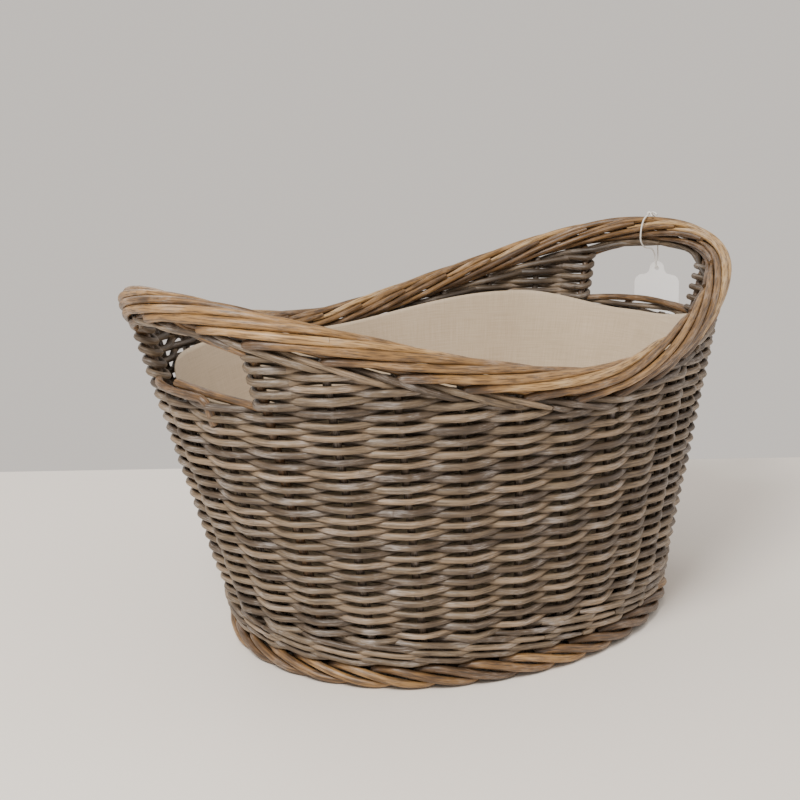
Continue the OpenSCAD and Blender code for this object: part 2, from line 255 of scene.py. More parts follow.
class Graph:
    """Adds nodes to a tree and joins them."""

    def __init__(self, tree):
        self.tree = tree

    def node(self, kind, settings=None, sockets=None, out=0):
        made = self.tree.nodes.new(kind)
        for name, value in (settings or {}).items():
            if name == "stops":
                ramp = made.color_ramp
                while len(ramp.elements) < len(value):
                    ramp.elements.new(0.5)
                for element, (place, colour) in zip(ramp.elements, value):
                    element.position = place
                    element.color = (*colour, 1)
            else:
                setattr(made, name, value)
        for name, value in (sockets or {}).items():
            self.put(made, name, value)
        chosen = made.outputs[out] if isinstance(out, int) else self.find(made.outputs, out)
        return Value(self, chosen) if made.outputs else made

    @staticmethod
    def find(sockets, name):
        for s in sockets:
            if s.identifier == name:
                return s
        return sockets[name]

    def put(self, made, name, value):
        socket = made.inputs[name] if isinstance(name, int) else self.find(made.inputs, name)
        if isinstance(value, Value):
            self.tree.links.new(value.socket, socket)
        elif isinstance(value, (tuple, list)) and len(value) == 3 and socket.type == "RGBA":
            socket.default_value = (*value, 1)
        else:
            socket.default_value = value

    def mix(self, amount, first, second, blend="MIX"):
        """Between two colours."""
        return self.node(
            "ShaderNodeMix",
            {"data_type": "RGBA", "blend_type": blend},
            {"Factor_Float": amount, "A_Color": first, "B_Color": second},
            "Result_Color",
        )

    def ramp(self, amount, stops):
        return self.node("ShaderNodeValToRGB", {"stops": stops}, {"Fac": amount})

    def noise(self, vector, scale, detail=3.0, roughness=0.55):
        return self.node(
            "ShaderNodeTexNoise",
            {},
            {"Vector": vector, "Scale": scale, "Detail": detail, "Roughness": roughness},
        )

    def stretch(self, vector, scale):
        return self.node(
            "ShaderNodeVectorMath", {"operation": "MULTIPLY"}, {0: vector, 1: scale}
        )

    def attribute(self, name, out):
        return self.node("ShaderNodeAttribute", {"attribute_name": name}, {}, out)


def new_material(name):
    material = bpy.data.materials.new(name)
    material.use_nodes = True
    material.node_tree.nodes.clear()
    graph = Graph(material.node_tree)
    shader = material.node_tree.nodes.new("ShaderNodeBsdfPrincipled")
    output = material.node_tree.nodes.new("ShaderNodeOutputMaterial")
    material.node_tree.links.new(shader.outputs[0], output.inputs["Surface"])
    return material, graph, shader


def bump(graph, height, strength, distance):
    sockets = {"Height": height, "Strength": strength, "Distance": distance}
    return graph.node("ShaderNodeBump", {}, sockets)


# ---- Materials ----


def willow(name, stops, bloom_and_highlight_amount, gloss, wear):
    """Bark on a rod: its own tone, streaks along it, pale bloom patches that also stand in as painted
    highlights, painted shade where it runs inside the stakes, scars and dirt.
    """
    material, g, shader = new_material(name)
    tone = g.attribute("tone", "Fac")
    grain = g.attribute("grain", "Vector")
    along = g.stretch(grain, (1.0, 1.0, 0.07))
    streaks = g.noise(along, 900.0, 4.0, 0.6)
    fine = g.noise(along, 2600.0, 2.0, 0.6)
    patches = g.noise(g.stretch(grain, (0.5, 0.5, 0.35)), 95.0, 3.0, 0.5)
    rings = g.noise(g.stretch(grain, (0.25, 0.25, 1.0)), 260.0, 2.0, 0.5)
    shade = tone * 0.55 + patches * 0.42 + streaks * 0.75 - 0.42
    colour = g.ramp(shade, stops)
    # pale patches: partly a pale bloom on the bark, partly a painted highlight standing in for glints on the
    # glossy rods
    bloom_and_painted_highlight = (patches * 0.6 + fine * 0.6).between(0.60, 0.78) * bloom_and_highlight_amount
    colour = g.mix(bloom_and_painted_highlight, colour, (0.46, 0.43, 0.42))
    dirt = (1 - streaks * 1.15).between(0.40, 0.60) * wear
    colour = g.mix(dirt, colour, (0.035, 0.024, 0.016))
    scars = rings.between(0.66, 0.74) * patches.between(0.5, 0.6)
    colour = g.mix(scars * 0.55, colour, (0.06, 0.04, 0.025))
    # painted shade: the bark is darkened where the rod runs inside the stakes, as if in their shade
    painted_inside_shade = g.attribute("tuck", "Fac").between(-0.35, 1.0) * 0.8
    colour = g.mix(painted_inside_shade, colour, (0.022, 0.015, 0.010))
    g.put(shader, "Base Color", colour)
    g.put(shader, "Roughness", 0.74 - streaks * 0.28 - bloom_and_painted_highlight * 0.1 - gloss)
    shader.inputs["Specular IOR Level"].default_value = 0.5
    height = streaks * 0.7 + fine * 0.3 + scars * 0.6
    g.put(shader, "Normal", bump(g, height, 0.55, 0.0006))
    return material


GREY_BARK = (
    (0.0, (0.034, 0.022, 0.014)),
    (0.28, (0.088, 0.060, 0.037)),
    (0.50, (0.165, 0.119, 0.073)),
    (0.68, (0.228, 0.162, 0.102)),
    (0.84, (0.315, 0.222, 0.138)),
    (1.0, (0.410, 0.325, 0.235)),
)
TAN_BARK = (
    (0.0, (0.040, 0.021, 0.009)),
    (0.28, (0.125, 0.066, 0.026)),
    (0.46, (0.265, 0.144, 0.050)),
    (0.64, (0.425, 0.245, 0.090)),
    (0.80, (0.560, 0.365, 0.165)),
    (1.0, (0.640, 0.490, 0.320)),
)


def linen():
    """Plain-woven undyed cloth: two sets of threads, slubs and soft mottling."""
    material, g, shader = new_material("natural_linen")
    uv = g.node("ShaderNodeUVMap", {"uv_map": "cloth"})
    across, up = (g.node("ShaderNodeSeparateXYZ", {}, {0: uv}, axis) for axis in (0, 1))
    waver = g.noise(uv, 60.0, 2.0)
    pitch = 2 * math.pi / 0.0011
    weft = (up * pitch + waver * 3.0).sin() * 0.5 + 0.5
    warp = (across * pitch + waver * 3.0).sin() * 0.5 + 0.5
    slub_weft = g.noise(g.stretch(uv, (14.0, 420.0, 1.0)), 2.2, 3.0, 0.6)
    slub_warp = g.noise(g.stretch(uv, (420.0, 14.0, 1.0)), 2.2, 3.0, 0.6)
    mottle = g.noise(uv, 9.0, 3.0, 0.5)
    threads = slub_weft * 0.5 + slub_warp * 0.5
    colour = g.ramp(
        threads * 0.8 + mottle * 0.3 - 0.05,
        (
            (0.25, (0.385, 0.298, 0.198)),
            (0.50, (0.520, 0.418, 0.295)),
            (0.78, (0.630, 0.530, 0.400)),
        ),
    )
    colour = g.mix((weft * warp) * 0.22, colour, (0.66, 0.60, 0.51))
    g.put(shader, "Base Color", colour)
    shader.inputs["Roughness"].default_value = 0.92
    shader.inputs["Sheen Weight"].default_value = 0.25
    shader.inputs["Specular IOR Level"].default_value = 0.25
    height = weft * 0.35 + warp * 0.35 + threads * 0.8
    g.put(shader, "Normal", bump(g, height, 0.5, 0.0004))
    return material


def card_stock():
    """Matt white card with faint fibres."""
    material, g, shader = new_material("white_card")
    place = g.node("ShaderNodeTexCoord", {}, {}, "Object")
    fibres = g.noise(g.stretch(place, (1.0, 1.0, 0.4)), 900.0, 4.0)
    cloud = g.noise(place, 60.0, 2.0)
    g.put(shader, "Base Color", g.mix(fibres * 0.5 + cloud * 0.3, (0.86, 0.86, 0.86), (0.92, 0.92, 0.92)))
    g.put(shader, "Roughness", 0.6 + fibres * 0.2)
    g.put(shader, "Normal", bump(g, fibres, 0.15, 0.0002))
    return material


def twisted_string():
    """White cotton string of two plies."""
    material, g, shader = new_material("white_string")
    place = g.node("ShaderNodeTexCoord", {}, {}, "Object")
    fibres = g.noise(place, 2400.0, 3.0)
    g.put(shader, "Base Color", g.mix(fibres, (0.62, 0.60, 0.56), (0.88, 0.87, 0.84)))
    g.put(shader, "Roughness", 0.7 + fibres * 0.2)
    g.put(shader, "Normal", bump(g, fibres, 0.5, 0.0003))
    return material


def pale_floor():
    material, g, shader = new_material("pale_floor")
    place = g.node("ShaderNodeTexCoord", {}, {}, "Object")
    cloud = g.noise(place, 1.5, 2.0)
    g.put(shader, "Base Color", g.mix(cloud, (0.85, 0.80, 0.735), (0.87, 0.825, 0.765)))
    shader.inputs["Roughness"].default_value = 0.7
    return material


MATERIALS = {}


def material(name):
    """Each finish is made once, when the first piece asks for it."""
    makers = {
        "grey_willow": lambda: willow("grey_willow", GREY_BARK, 0.5, 0.12, 0.55),
        "tan_willow": lambda: willow("tan_willow", TAN_BARK, 0.3, 0.18, 0.6),
        "linen": linen,
        "card": card_stock,
        "string": twisted_string,
        "floor": pale_floor,
    }
    if name not in MATERIALS:
        MATERIALS[name] = makers[name]()
    return MATERIALS[name]


# ---- Rods ----


class Rods:
    """Guide lines for willow rods, which the node tree weaves and thickens."""

    def __init__(self):
        self.points, self.edges = [], []
        self.columns = {k: [] for k in ("place", "parity", "ply", "girth", "tone", "length")}
        self.outward = []
        self.count = 0

    def add(self, points, out, place=0.0, parity=0.0, ply=1.0, girth=1.0, tone=0.5):
        points = np.asarray(points, float)
        n = len(points)
        steps = np.linalg.norm(np.diff(points, axis=0), axis=1)
        self.points.append(points)
        self.outward.append(np.broadcast_to(out, (n, 3)))
        first = self.count + np.arange(n - 1)
        self.edges.append(np.stack([first, first + 1], -1))
        self.columns["length"].append(np.concatenate([[0], np.cumsum(steps)]) + 0.7 * len(self.points))
        given = {"place": place, "parity": parity, "ply": ply, "girth": girth, "tone": tone}
        for key, value in given.items():
            self.columns[key].append(np.broadcast_to(value, n))
        self.count += n

    def mesh(self, name):
        mesh = bpy.data.meshes.new(name)
        points = np.concatenate(self.points)
        edges = np.concatenate(self.edges)
        mesh.from_pydata(points.tolist(), edges.tolist(), [])
        for key, values in self.columns.items():
            layer = mesh.attributes.new(key, "FLOAT", "POINT")
            layer.data.foreach_set("value", np.concatenate(values).astype(np.float32))
        layer = mesh.attributes.new("outward", "FLOAT_VECTOR", "POINT")
        layer.data.foreach_set("vector", np.concatenate(self.outward).astype(np.float32).ravel())
        return mesh


CRIMP_EDGE = 0.985  # nearer 1 bends a fully crimped rod more sharply at each stake
INWARD_LIMIT = 1.15


def rod_tree():
    """Weaves guide lines in and out of the stakes and sweeps a round rod along them."""
    name = "Willow rods"
    if name in bpy.data.node_groups:
        return bpy.data.node_groups[name]
    tree = bpy.data.node_groups.new(name, "GeometryNodeTree")
    tree.interface.new_socket("Geometry", in_out="INPUT", socket_type="NodeSocketGeometry")
    for label, kind, value in (
        ("Rod Radius", "NodeSocketFloat", 2.4 * MM),
        ("Weave Depth", "NodeSocketFloat", 0.0),
        ("Weave Period", "NodeSocketFloat", 2.0),
        ("Weave Bias", "NodeSocketFloat", 0.0),
        ("Crimp", "NodeSocketFloat", 0.0),
        ("Ply Lift", "NodeSocketFloat", 0.0),
        ("Wander", "NodeSocketFloat", 0.4 * MM),
        ("Unevenness", "NodeSocketFloat", 0.12),
        ("Sides", "NodeSocketInt", 8),
        ("Seed", "NodeSocketFloat", 0.0),
        ("Finish", "NodeSocketMaterial", None),
    ):
        socket = tree.interface.new_socket(label, in_out="INPUT", socket_type=kind)
        if value is not None:
            socket.default_value = value
    tree.interface.new_socket("Geometry", in_out="OUTPUT", socket_type="NodeSocketGeometry")
    g = Graph(tree)
    given = tree.nodes.new("NodeGroupInput")

    def take(label):
        return Value(g, given.outputs[label])

    def named(label, kind="FLOAT"):
        return g.node("GeometryNodeInputNamedAttribute", {"data_type": kind}, {"Name": label})

    place, parity = named("place"), named("parity")
    out = named("outward", "FLOAT_VECTOR")
    turn = place * (2 * math.pi) / take("Weave Period")
    round_wave = turn.sin()
    sharp_wave = (round_wave * CRIMP_EDGE).math("ARCSINE") * (1 / math.asin(CRIMP_EDGE))
    wave = round_wave + (sharp_wave - round_wave) * take("Crimp")
    wave = wave * (1 + take("Weave Bias")) + take("Weave Bias")
    weave = wave.smallest(INWARD_LIMIT) * parity * take("Weave Depth")
    seeded = g.node("ShaderNodeCombineXYZ", {}, {0: named("length"), 1: take("Seed")})
    drift = g.node("ShaderNodeTexNoise", {}, {"Vector": seeded, "Scale": 14.0, "Detail": 1.0}, "Color")
    drift = g.node("ShaderNodeVectorMath", {"operation": "SUBTRACT"}, {0: drift, 1: (0.5, 0.5, 0.5)})
    drift = g.node("ShaderNodeVectorMath", {"operation": "SCALE"}, {0: drift, "Scale": take("Wander") * 2.0})
    move = g.node("ShaderNodeVectorMath", {"operation": "SCALE"}, {0: out, "Scale": weave})
    ply = g.node("ShaderNodeCombineXYZ", {}, {2: turn.cos() * named("ply") * take("Ply Lift")})
    move = g.node("ShaderNodeVectorMath", {"operation": "ADD"}, {0: move, 1: drift})
    move = g.node("ShaderNodeVectorMath", {"operation": "ADD"}, {0: move, 1: ply})
    # tuck is how far the rod runs inside the stakes; the bark material paints shade from it
    marked = g.node(
        "GeometryNodeStoreNamedAttribute",
        {"data_type": "FLOAT", "domain": "POINT"},
        {"Geometry": take("Geometry"), "Name": "tuck", "Value": wave * parity * -1.0},
    )
    woven = g.node("GeometryNodeSetPosition", {}, {"Geometry": marked, "Offset": move})
    curve = g.node("GeometryNodeMeshToCurve", {}, {"Mesh": woven})
    lumps = g.noise(seeded, 45.0, 2.0)
    girth = named("girth") * take("Rod Radius") * (1 + (lumps - 0.5) * 2.0 * take("Unevenness"))
    curve = g.node(
        "GeometryNodeStoreNamedAttribute",
        {"data_type": "FLOAT", "domain": "POINT"},
        {"Geometry": curve, "Name": "girth", "Value": girth},
    )
    circle = g.node("GeometryNodeCurvePrimitiveCircle", {}, {"Resolution": take("Sides"), "Radius": 1.0})
    across = g.node("GeometryNodeInputPosition")
    circle = g.node(
        "GeometryNodeStoreNamedAttribute",
        {"data_type": "FLOAT_VECTOR", "domain": "POINT"},
        {"Geometry": circle, "Name": "across", "Value": across},
    )
    swept = g.node(
        "GeometryNodeCurveToMesh",
        {},
        {"Curve": curve, "Profile Curve": circle, "Scale": named("girth"), "Fill Caps": True},
    )
    rod_place = named("across", "FLOAT_VECTOR")
    grain = g.node("ShaderNodeVectorMath", {"operation": "SCALE"}, {0: rod_place, "Scale": named("girth")})
    length = g.node("ShaderNodeCombineXYZ", {}, {2: named("length")})
    grain = g.node("ShaderNodeVectorMath", {"operation": "ADD"}, {0: grain, 1: length})
    swept = g.node(
        "GeometryNodeStoreNamedAttribute",
        {"data_type": "FLOAT_VECTOR", "domain": "POINT"},
        {"Geometry": swept, "Name": "grain", "Value": grain},
    )
    swept = g.node("GeometryNodeSetShadeSmooth", {}, {"Geometry": swept})
    swept = g.node("GeometryNodeRealizeInstances", {}, {"Geometry": swept})
    swept = g.node("GeometryNodeSetMaterial", {}, {"Geometry": swept, "Material": take("Finish")})
    result = tree.nodes.new("NodeGroupOutput")
    tree.links.new(swept.socket, result.inputs["Geometry"])
    return tree


def baked(obj):
    """Turns an object's modifiers into a plain mesh of its own."""
    depsgraph = bpy.context.evaluated_depsgraph_get()
    mesh = bpy.data.meshes.new_from_object(obj.evaluated_get(depsgraph), depsgraph=depsgraph)
    obj.modifiers.clear()
    old = obj.data
    obj.data = mesh
    bpy.data.meshes.remove(old)
    return obj


def finish_node(node, finish):
    """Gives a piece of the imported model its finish, and leaves its shape alone."""
    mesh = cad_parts[node].data
    mesh.materials.clear()
    mesh.materials.append(material(finish))


def weave(name, rods, finish, replaced, radius, **inputs):
    """One woven piece: guide lines through the rod tree, then a plain mesh."""
    obj = placed(name, rods.mesh(name))
    tree = rod_tree()
    modifier = obj.modifiers.new("Willow rods", "NODES")
    modifier.node_group = tree
    settings = {"Rod Radius": radius, "Finish": material(finish), "Seed": float(len(name)), **inputs}
    for item in tree.interface.items_tree:
        if item.in_out == "INPUT" and item.name in settings:
            modifier[item.identifier] = settings[item.name]
    obj.update_tag()
    baked(obj)
    for extra in ("place", "parity", "ply", "girth", "length", "outward", "across"):
        if extra in obj.data.attributes:
            obj.data.attributes.remove(obj.data.attributes[extra])
    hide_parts(*replaced)
    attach(obj, "basket")
    return obj


# ---- Wall ----

WEAVE_LOW = 40.2 * MM
COURSE_RISE = 4.7 * MM
SILL_Z = 232 * MM
FULL_COURSES = 32  # the last course that runs the whole length of a side
SILL_COURSES = 40  # the last course under a hand hole
CHEEK_COURSES = 49  # the last course beside a hand hole
POST = 1.5  # a hand hole's posts, in gaps from the end's middle
WALE_TOP_DROP = 18.0 * MM  # from the border's middle down to where a course meets the rim's wale
HEAD_DROP = 13.7 * MM  # from the border's middle down to the wale over a hand hole
STEPS_PER_GAP = 8


def course_z(k):
    return WEAVE_LOW + k * COURSE_RISE


def meets_dip(z):
    """How far from the end a level course runs before it meets the wale."""
    g = np.linspace(POST, 7.5, 241)
    clear = rim_z(g) - WALE_TOP_DROP >= z
    return float(g[clear][-1]) if clear.any() else POST


def from_end(g):
    """Gaps to the middle of the nearer end."""
    return np.abs((g + 7.5) % 15 - 7.5)


def parity_of(k):
    return 1.0 if k % 2 == 0 else -1.0


def joint_near(k, g):
    """The stake at or next after g that course k passes on the inside."""
    return g + 1 if math.sin(math.pi * g) * parity_of(k) > 0 else g


def course(rods, rng, k, start, stop):
    """Rods laid end to end along one level course, joined inside the stakes."""
    g = start
    while g < stop - 0.3:
        end = joint_near(k, math.floor(g + rng.integers(5, 11)) + 0.5)
        if stop - end < 2:
            end = stop
        n = max(4, int(round((end - g) * STEPS_PER_GAP)) + 1)
        place = np.linspace(g, end, n)
        z = course_z(k) + np.zeros(n)
        u = np.linspace(0, 1, n)
        if rng.random() < 0.5:
            u = 1 - u
        thick = rng.uniform(0.94, 1.07) * (1.06 - 0.16 * u)
        ends = smooth(np.minimum(place - g, end - place), -0.05, 0.12)
        rods.add(
            wall(place, z),
            outward(place, z),
            place=place,
            parity=parity_of(k) * (1 + rng.uniform(-0.06, 0.06)),
            girth=thick * (0.55 + 0.45 * ends),
            tone=rng.uniform(0, 1),
        )
        g = end + 0.02


TURN_REACH = 6.3 * MM
END_GAP = 48 * MM
TURN_LEAD = np.array([0.45, 0.2])  # gaps from the post where the rod joins its courses


def post_turn(rods, rng, k, middle, side):
    """A rod turning round a hand-hole post from one course to the next."""
    g0 = middle + POST * side
    a = np.linspace(-math.pi / 2, math.pi / 2, 9)
    out = 1.0 if math.sin(math.pi * g0) * parity_of(k) > 0 else -1.0
    z = course_z(k) + COURSE_RISE * (np.sin(a) + 1) / 2
    place = g0 - side * np.cos(a) * TURN_REACH / END_GAP
    off = -out * np.sin(a) * TURN_REACH
    lead = TURN_LEAD * side
    place = np.concatenate([g0 + lead, place, g0 + lead[::-1]])
    z = np.concatenate([[z[0]] * 2, z, [z[-1]] * 2])
    depth = np.sin(np.pi * (g0 + lead)) / math.sin(math.pi * g0) * TURN_REACH * out
    off = np.concatenate([depth, off, -depth[::-1]])
    girth = np.linspace(1.0, 0.9, len(z))
    rods.add(wall(place, z, off), outward(place, z), girth=girth, tone=rng.uniform(0.1, 0.6))


SIDING = {"Weave Depth": 6.2 * MM, "Crimp": 0.7, "Wander": 0.5 * MM}
SIDING_ROD = 2.75 * MM
CHEEK_ROD = 3.08 * MM


def side_weave(name, node, start, seed):
    """Full courses of one long side, from one end panel to the other."""
    rng = np.random.default_rng(seed)
    rods = Rods()
    for k in range(FULL_COURSES + 1):
        course(rods, rng, k, joint_near(k, start), joint_near(k, start + 10) - 0.02)
    return weave(name, rods, "grey_willow", [node], SIDING_ROD, **SIDING)


def end_weave(name, node, middle, seed):
    """Full courses of one end, up to the hand hole's sill."""
    rng = np.random.default_rng(seed)
    rods = Rods()
    for k in range(SILL_COURSES + 1):
        course(rods, rng, k, joint_near(k, middle - 2.5), joint_near(k, middle + 2.5) - 0.02)
    return weave(name, rods, "grey_willow", [node], SIDING_ROD, **SIDING)


def cheek(name, node, middle, side, seed):
    """Courses beside a hand hole, turned round the post, up to the dipping wale."""
    rng = np.random.default_rng(seed)
    rods = Rods()
    for k in range(FULL_COURSES + 1, CHEEK_COURSES + 1):
        far = middle + side * meets_dip(course_z(k))
        near = middle + side * POST if k > SILL_COURSES else joint_near(k, middle + side * 2.5)
        if (far - near) * side > 0.4:
            course(rods, rng, k, min(near, far), max(near, far))
        if k > SILL_COURSES and (k - SILL_COURSES) % 2 == 1:
            post_turn(rods, rng, k, middle, side)
    return weave(name, rods, "grey_willow", [node], CHEEK_ROD, **SIDING)


WALING = {"Weave Depth": 5.9 * MM, "Weave Period": 3.0, "Weave Bias": 0.33}
HEAD_CLOSING = 0.62  # how much the wale's rods close up over a hand hole


def wale(name, node, start, stop, levels, radius, seed, follow=False, **inputs):
    """Rounds of three-rod waling, level or following the dip and closing up over a hand hole."""
    rng = np.random.default_rng(seed)
    rods = Rods()
    for level in levels:
        for strand in range(3):
            g = start
            while g < stop - 0.2:
                end = min(stop, g + rng.integers(6, 11))
                if stop - end < 2:
                    end = stop
                n = int((end - g) * STEPS_PER_GAP) + 2
                place = np.linspace(g, end, n)
                thick = rng.uniform(0.92, 1.06) * np.linspace(1.05, 0.93, n)
                ends = smooth(np.minimum(place - g, end - place), -0.05, 0.3)
                z = level + np.zeros(n)
                at = z
                ply = 1.0
                if follow:
                    over_hole = 1 - smooth(from_end(place), 0.85, POST)
                    drop = level - over_hole * (level - HEAD_DROP)
                    z = rim_z(place) - drop
                    at = rim_z(place) - drop * (1 - over_hole)
                    ply = 1 - HEAD_CLOSING * over_hole
                points = wall(place, at)
                points[:, 2] = z
                rods.add(
                    points,
                    outward(place, at),
                    place=place + strand + rng.uniform(-0.03, 0.03),
                    parity=ply,
                    ply=ply,
                    girth=thick * (0.6 + 0.4 * ends),
                    tone=rng.uniform(0.05, 1),
                )
                g = end + 0.02
    return weave(name, rods, "grey_willow", [node], radius, **WALING, **inputs)


STAKE_LOW = 20.5 * MM
STAKE_ROD = 3.3 * MM
POST_ROD = 3.7 * MM
STRAIGHT = {"Wander": 0.2 * MM}
# the bent head of a post: gaps from the end's middle, offset, drop below the border's middle
POST_HEAD = (
    (1.5, 0.0, 31),
    (1.5, 0.4, 25),
    (1.42, 1.0, 20.5),
    (1.2, 1.6, 17.6),
    (0.9, 2.0, 15.4),
    (0.6, 1.2, 11.6),
    (0.3, 0.2, 6.5),
)


def stake_line(rods, rng, g, top):
    z = np.linspace(STAKE_LOW, top, 24)
    # stakes take only the darkest tones: painted shade for the gaps in the weave where they show behind the
    # rods
    rods.add(wall(g, z), outward(g, z), girth=np.linspace(1.05, 0.93, 24), tone=rng.uniform(0, 0.2))


def stakes(name, node, places, seed):
    """Upright stakes up into the border, or cut off under a hand hole."""
    rng = np.random.default_rng(seed)
    rods = Rods()
    for g in places:
        top = SILL_Z - 6.5 * MM if from_end(g) < 1 else float(rim_z(g)) - 11 * MM
        stake_line(rods, rng, g, top)
    return weave(name, rods, "grey_willow", [node], STAKE_ROD, **STRAIGHT)


def posts(name, node, middle, seed):
    """The two stakes beside a hand hole, bent over at the top towards its middle."""
    rng = np.random.default_rng(seed)
    rods = Rods()
    for side in (-1, 1):
        stake_line(rods, rng, middle + POST * side, float(rim_z(middle + POST)) - 26 * MM)
        head = curve_through(POST_HEAD)
        place = middle + side * head[:, 0]
        rim = rim_z(place)
        drop = head[:, 2] * MM
        lean = smooth(drop, 16 * MM, 26 * MM)
        points = wall(place, rim - drop * lean, head[:, 1] * MM)
        points[:, 2] = rim - drop
        girth = np.linspace(0.92, 0.82, len(place))
        rods.add(points, outward(place, rim), girth=girth, tone=rng.uniform(0.2, 0.5))
    return weave(name, rods, "tan_willow", [node], POST_ROD, **STRAIGHT)


# ---- Foot, base, sills and border ----

FOOT_RODS = 34
# how far along in foot-rod gaps, how far outside the stakes, height
FOOT_ROUTE = (
    (-0.3, 1.0, 13.4),
    (0.0, 4.6, 15.2),
    (0.3, 8.0, 15.2),
    (0.75, 9.5, 11.7),
    (1.2, 9.3, 7.5),
    (1.6, 8.4, 4.8),
    (1.95, 6.0, 3.9),
    (2.2, 2.0, 4.2),
)


def curve_through(points, per_span=6):
    """A smooth line through points, by Catmull-Rom spans."""
    p = np.asarray(points, float)
    p = np.vstack([2 * p[0] - p[1], p, 2 * p[-1] - p[-2]])
    line = []
    for i in range(1, len(p) - 2):
        t = np.linspace(0, 1, per_span, endpoint=False)[:, None]
        a, b, c, d = p[i - 1], p[i], p[i + 1], p[i + 2]
        line.append(
            0.5 * (2 * b + (c - a) * t + (2 * a - 5 * b + 4 * c - d) * t**2 + (3 * b - a - 3 * c + d) * t**3)
        )
    line.append(p[-2][None])
    return np.vstack(line)


def foot_border():
    """Thick rods round the foot, each lying over the start of the next."""
    rng = np.random.default_rng(11)
    rods = Rods()
    route = curve_through(FOOT_ROUTE, 4)
    step = GAPS / FOOT_RODS
    u = np.linspace(0, 1, len(route))
    for i in range(FOOT_RODS):
        g = (i + route[:, 0] + rng.uniform(-0.04, 0.04)) * step
        points = oval(g, route[:, 2] * MM, route[:, 1] * MM, BASE_HALF_LENGTH, BASE_HALF_WIDTH)
        h = heading(evenly(g, BASE_HALF_LENGTH, BASE_HALF_WIDTH))
        out = np.stack([np.cos(h), np.sin(h), np.zeros_like(h)], -1)
        girth = rng.uniform(0.86, 0.97) * (1.04 - 0.14 * u)
        # painted shade: each rod's tone falls to its darkest at its start, which lies under the rod before
        # it
        tone = rng.uniform(0, 0.6) * smooth(u, -0.05, 0.22)
        rods.add(points, out, girth=girth, tone=tone)
    return weave("foot_border_rods", rods, "tan_willow", ["foot_border"], FOOT_ROD, Sides=10, **STRAIGHT)


BASE_Z = 13 * MM
BASE_ROUNDS = 24
BASE_EDGE, BASE_PITCH = 12, 4.7
BASE_ROD = 2.1 * MM
BASE_STEPS = 240
CROSS_PLACES = [38 * MM * i for i in range(-3, 4)]
LONG_PLACES = [15 * MM * j for j in range(-2, 3)]


def base_weave():
    """Rings that pass over and under the base's sticks."""
    rng = np.random.default_rng(12)
    rods = Rods()
    n = BASE_STEPS
    for k in range(BASE_ROUNDS):
        inset = (BASE_EDGE + BASE_PITCH * k) * MM
        a = BASE_HALF_LENGTH - inset
        b = BASE_HALF_WIDTH - inset
        g = np.linspace(0, GAPS, n, endpoint=False)
        ring = oval(g, BASE_Z, 0.0, a, b)
        crossings = []
        for x in CROSS_PLACES:
            d = ring[:, 0] - x
            crossings += list(np.nonzero(d * np.roll(d, -1) < 0)[0])
        for y in LONG_PLACES:
            d = ring[:, 1] - y - 0.01 * MM
            near_end = np.abs(ring[:, 0]) > a * 0.5
            crossings += list(np.nonzero((d * np.roll(d, -1) < 0) & near_end)[0])
        crossings = np.array(sorted(crossings), float)
        marks = np.arange(len(crossings)) + 0.5
        index = np.arange(n + 1, dtype=float)
        place = np.interp(
            index,
            np.concatenate([crossings[-1:] - n, crossings, crossings[:1] + n]),
            np.concatenate([[-0.5], marks, [len(crossings) + 0.5]]),
        )
        ring = np.vstack([ring, ring[:1]])
        cut = int(rng.integers(0, n))
        half = n // 2
        for piece_start in (0, half):
            pick = (np.arange(piece_start, piece_start + half + 1) + cut) % n
            rods.add(
                ring[pick],
                (0.0, 0.0, 1.0),
                place=place[pick],
                parity=parity_of(k),
                girth=rng.uniform(0.9, 1.05),
                tone=rng.uniform(0, 1),
            )
    flat = {"Weave Depth": 7.0 * MM, "Sides": 6}
    return weave("base_weavers", rods, "grey_willow", ["base_weave"], BASE_ROD, **flat)


SILL_ROD = 3.3 * MM
# sill rods: gaps from the end's middle, offset outside the stakes, height
BENT = (
    (0.5, 4.5, 214),
    (0.5, 4.9, 221),
    (0.49, 5.1, 228),
    (0.43, 5.1, 232.2),
    (0.28, 4.8, 233.6),
    (-0.4, 4.2, 233),
    (-1.0, 3.6, 232.5),
    (-1.38, 1.0, 232),
)
LAID_SHORT = (
    (-0.38, -1.0, 238.5),
    (0.1, -3.0, 236.8),
    (0.7, -3.6, 234),
    (1.2, -2.6, 231.5),
    (1.42, 0.5, 230.5),
)
LAID_LONG = (
    (-1.42, 0.4, 231),
    (-0.9, -2.6, 233.5),
    (-0.1, -3.4, 235.5),
    (0.8, -3.4, 234),
    (1.42, 0.5, 231),
)


def sill(name, node, middle, laid_route, seed):
    """Two stakes bent over along the lower edge of a hand hole, one over the other."""
    rng = np.random.default_rng(seed)
    rods = Rods()
    for route, thick in ((BENT, 1.0), (laid_route, 0.95)):
        line = curve_through(route, 7)
        place = middle + line[:, 0]
        z = line[:, 2] * MM
        rods.add(
            wall(place, z, line[:, 1] * MM),
            outward(place, z),
            girth=thick * np.linspace(1.03, 0.93, len(line)),
            tone=rng.uniform(0.1, 0.3),
        )
    return weave(name, rods, "tan_willow", [node], SILL_ROD, **{"Sides": 12, "Wander": 0.3 * MM})


ROLL_PER_GAP = 45
OUTER_END = 5.3  # gaps from a stake to the end of its rod that starts outside
INNER_END = 3.9  # and of its rod that starts inside
BORDER_ROD = 3.2 * MM
# a stake's bend into the border: gaps along, offset and height from the border's middle
BORDER_RISE = (
    (-0.02, -1.5, -20.5),
    (0.0, 0.8, -16.6),
    (0.09, 3.6, -12.9),
    (0.32, 5.8, -9.7),
    (0.62, 6.9, -6.8),
)
HEAD_RISE = -9.5  # over a hand hole the rods start no lower than this


